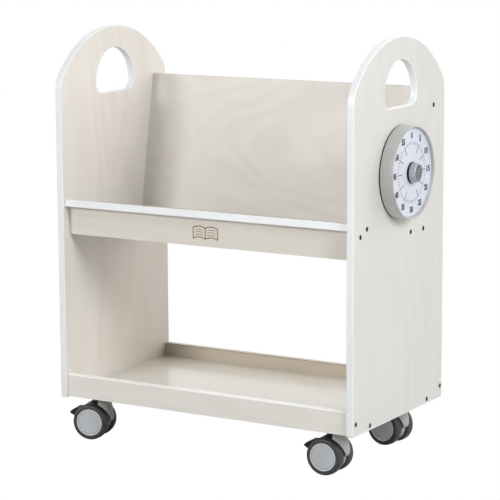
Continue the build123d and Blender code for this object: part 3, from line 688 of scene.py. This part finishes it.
def make_ticks():
    """A tick each minute, longer each five minutes except at 0 and 30."""
    shape = bmesh.new()
    for minute in range(60):
        inner, half = LONG_TICK if minute % 5 == 0 and minute % 30 != 0 else SHORT_TICK
        turn = minute / 60
        across = on_dial(1.0, turn + 0.25) - on_dial(0.0, 0.0)
        ends = ((inner, -1), (TICK_OUTER, -1), (TICK_OUTER, 1), (inner, 1))
        top = [on_dial(radius, turn, PRINT_TOP) + across * half * sign for radius, sign in ends]
        raised_face(shape, top, [point - OUT * PRINT_THICK * MM for point in top])
    bmesh.ops.recalc_face_normals(shape, faces=shape.faces)
    make_piece("dial_ticks", mesh_of(shape, "dial_ticks"), "ink", "cart")


NUMERAL_R = 74.5
NUMERAL_HEIGHT = 13.0
DIGIT_WIDTH = 7.2
DIGIT_GAP = 0.6
NUMERAL_BOLD = 0.048  # of the text's size
NUMERAL_EXTRUDE = 0.004  # of the text's size
NUMERAL_DEPTH = 10.0  # millimetres of depth to one of the text's size


def make_numerals():
    """Upright numbers 0 to 55, set as text and then turned into one thin mesh."""
    shape = bmesh.new()
    for i in range(12):
        text = bpy.data.curves.new("numeral", "FONT")
        text.body = str(5 * i)
        text.size = 1.0
        text.offset = NUMERAL_BOLD
        text.extrude = NUMERAL_EXTRUDE
        text.resolution_u = 3
        maker = bpy.data.objects.new("numeral", text)
        bpy.context.scene.collection.objects.link(maker)
        bpy.context.view_layer.update()
        drawn = bpy.data.meshes.new_from_object(maker)
        low = Vector([min(v.co[k] for v in drawn.vertices) for k in range(3)])
        high = Vector([max(v.co[k] for v in drawn.vertices) for k in range(3)])
        middle, size = (low + high) / 2, high - low
        digits = len(text.body)
        tall = NUMERAL_HEIGHT * MM / size.y
        wide = (DIGIT_WIDTH * digits + DIGIT_GAP * (digits - 1)) * MM / size.x
        place = on_dial(NUMERAL_R, i / 12, PRINT_TOP)
        for vertex in drawn.vertices:
            flat = vertex.co - middle
            vertex.co = place + Vector((flat.z * NUMERAL_DEPTH * MM, flat.x * wide, flat.y * tall))
        shape.from_mesh(drawn)
        bpy.data.objects.remove(maker)
        bpy.data.meshes.remove(drawn)
        bpy.data.curves.remove(text)
    numerals = mesh_of(shape, "dial_numerals")
    make_piece("dial_numerals", numerals, "ink", "cart", smooth_angle=5.0)


make_casing()
make_knob()
make_ticks()
make_numerals()


# ---------------------------------------------------------------- printed sign on the apron
SIGN_PLACE = Vector((0.0, -0.1775, 0.4686))  # on the apron's front face, in metres
SIGN_LIFT = Vector((0.0, -0.00012, 0.0))
SIGN_PAGE = 29  # width of a page
SIGN_RISE = 11.0  # half of a page's height
SIGN_CURL = 3.6
SIGN_LINE = 2.3
SIGN_TEXT_LINE = 1.3
SIGN_TEXT_HEIGHTS = (4.5, -0.5, -5.5)
SIGN_MARGIN = 5


def printed_line(shape, points, width):
    """Adds a printed line along the points, (across, up) on the apron, as a strip of quads."""
    rows = []
    for i, point in enumerate(points):
        before = Vector(points[max(i - 1, 0)])
        after = Vector(points[min(i + 1, len(points) - 1)])
        across = (after - before).normalized().orthogonal() * width / 2
        sides = (Vector(point) + across, Vector(point) - across)
        places = [SIGN_PLACE + Vector((p.x, 0, p.y)) * MM + SIGN_LIFT for p in sides]
        rows.append([shape.verts.new(place) for place in places])
    for a, b in zip(rows, rows[1:]):
        shape.faces.new((a[0], a[1], b[1], b[0]))


def page_line(shape, side, height, margin, width):
    """Adds a line across one page that follows the page's curl."""
    points = [
        (side * x, height + SIGN_CURL * math.sin(math.pi * x / SIGN_PAGE))
        for x in range(margin, SIGN_PAGE + 1 - margin)
    ]
    printed_line(shape, points, width)


def make_sign():
    """A plain open book, printed in brown on the apron."""
    shape = bmesh.new()
    for side in (-1, 1):
        for height in (SIGN_RISE, -SIGN_RISE):
            page_line(shape, side, height, 0, SIGN_LINE)
        for height in SIGN_TEXT_HEIGHTS:
            page_line(shape, side, height, SIGN_MARGIN, SIGN_TEXT_LINE)
        edge = SIGN_RISE + SIGN_LINE / 2
        printed_line(shape, [(side * SIGN_PAGE, edge), (side * SIGN_PAGE, -edge)], SIGN_LINE)
    printed_line(shape, [(0.0, SIGN_RISE), (0.0, -SIGN_RISE)], SIGN_LINE)
    make_piece("apron_sign", mesh_of(shape, "apron_sign"), "mark_ink", "cart")


make_sign()


# ---------------------------------------------------------------- stage, camera and light
# The camera stands where the photo was taken from, and looks at the target.
VIEW_AZIMUTH = math.radians(30.75)
VIEW_ELEVATION = math.radians(9.89)
VIEW_ROLL = math.radians(-0.293)
VIEW_TARGET = Vector((-0.0008, 0.0, 0.4081))
VIEW_DISTANCE = 4.5034
VIEW_LENS = 154.79
FLOOR_REACH = 14.0
LIGHT_AIM = (0.0, 0.0, 0.4)
COOL_LIGHT = (0.97, 1.0, 1.03)
WARM_LIGHT = (1.03, 1.0, 0.95, 1.0)
BACK_LIGHT = 3.2  # strength of the world's soft light from straight behind
LEFT_LIGHT = 0.5  # and from straight left


def make_camera():
    """A long lens in front and to the right of the cart, a little above its middle."""
    back = Vector(
        (
            math.sin(VIEW_AZIMUTH) * math.cos(VIEW_ELEVATION),
            -math.cos(VIEW_AZIMUTH) * math.cos(VIEW_ELEVATION),
            math.sin(VIEW_ELEVATION),
        )
    )
    right = Vector((math.cos(VIEW_AZIMUTH), math.sin(VIEW_AZIMUTH), 0.0))
    up = back.cross(right)
    rolled = Matrix((right, up, back)).transposed() @ Matrix.Rotation(VIEW_ROLL, 3, "Z")
    data = bpy.data.cameras.new("view")
    data.lens = VIEW_LENS
    data.sensor_width = 36.0
    camera = bpy.data.objects.new("view", data)
    camera.matrix_world = Matrix.Translation(VIEW_TARGET + back * VIEW_DISTANCE) @ rolled.to_4x4()
    bpy.context.scene.collection.objects.link(camera)
    bpy.context.scene.camera = camera


def make_light(name, place, size, power, colour=(1.0, 1.0, 1.0)):
    """A round area light that faces the cart."""
    data = bpy.data.lights.new(name, "AREA")
    data.shape = "DISK"
    data.size = size
    data.energy = power
    data.color = colour
    light = bpy.data.objects.new(name, data)
    light.location = place
    light.rotation_euler = (Vector(LIGHT_AIM) - Vector(place)).to_track_quat("-Z", "Y").to_euler()
    bpy.context.scene.collection.objects.link(light)


def make_stage():
    """A pale floor that lights the cart from below, and shows as white to the camera."""
    mesh = bpy.data.meshes.new("floor")
    reach = FLOOR_REACH
    corners = [(-reach, -reach, 0), (reach, -reach, 0), (reach, reach, 0), (-reach, reach, 0)]
    mesh.from_pydata(corners, [], [(0, 1, 2, 3)])
    floor = bpy.data.objects.new("floor", mesh)
    bpy.context.scene.collection.objects.link(floor)
    shader = Shader("floor")
    cloud = shader.noise(2.0, 2.0, 0.5)
    pale = shader.mix(cloud, (0.50, 0.50, 0.50, 1), (0.54, 0.54, 0.54, 1))
    shader.finish(Base_Color=pale, Roughness=0.9)
    glow = shader.node("ShaderNodeEmission", {"Color": (1, 1, 1, 1), "Strength": 1.0})
    seen = shader.node("ShaderNodeLightPath", {}).outputs["Is Camera Ray"]
    layers = {0: seen, 1: shader.surface.outputs[0], 2: glow.outputs[0]}
    both = shader.node("ShaderNodeMixShader", layers)
    output = shader.tree.nodes["Material Output"]
    shader.tree.links.new(both.outputs[0], output.inputs["Surface"])
    mesh.materials.append(shader.material)


def make_world():
    """White to the camera and in reflections, and soft warm light from behind and the left."""
    world = bpy.data.worlds.new("studio")
    world.use_nodes = True
    tree = world.node_tree

    def worked(operation, first, second):
        """A math node's output. First and second are values or node outputs."""
        made = tree.nodes.new("ShaderNodeMath")
        made.operation = operation
        for socket, value in zip(made.inputs, (first, second)):
            if isinstance(value, bpy.types.NodeSocket):
                tree.links.new(value, socket)
            else:
                socket.default_value = value
        return made.outputs[0]

    way = tree.nodes.new("ShaderNodeTexCoord").outputs["Generated"]
    parts = tree.nodes.new("ShaderNodeSeparateXYZ")
    tree.links.new(way, parts.inputs[0])
    behind = worked("MULTIPLY", worked("MAXIMUM", parts.outputs[1], 0.0), BACK_LIGHT)
    leftward = worked("MULTIPLY", parts.outputs[0], -1.0)
    left = worked("MULTIPLY", worked("MAXIMUM", leftward, 0.0), LEFT_LIGHT)
    path = tree.nodes.new("ShaderNodeLightPath").outputs
    plain = worked("MAXIMUM", path["Is Camera Ray"], path["Is Glossy Ray"])
    soft = worked("MULTIPLY", worked("SUBTRACT", 1.0, plain), worked("ADD", behind, left))
    background = tree.nodes["Background"]
    tree.links.new(worked("ADD", plain, soft), background.inputs["Strength"])
    tint = tree.nodes.new("ShaderNodeMix")
    tint.data_type = "RGBA"
    tree.links.new(plain, tint.inputs["Factor"])
    tint.inputs[6].default_value = WARM_LIGHT
    tint.inputs[7].default_value = (1.0, 1.0, 1.0, 1.0)
    tree.links.new(tint.outputs[2], background.inputs["Color"])
    bpy.context.scene.world = world


make_camera()
make_stage()
make_world()
make_light("key", (3.4, -1.2, 2.3), 1.6, 106, COOL_LIGHT)
make_light("front", (-1.1, -4.2, 2.2), 1.3, 110)
bpy.context.scene.view_settings.view_transform = "Standard"
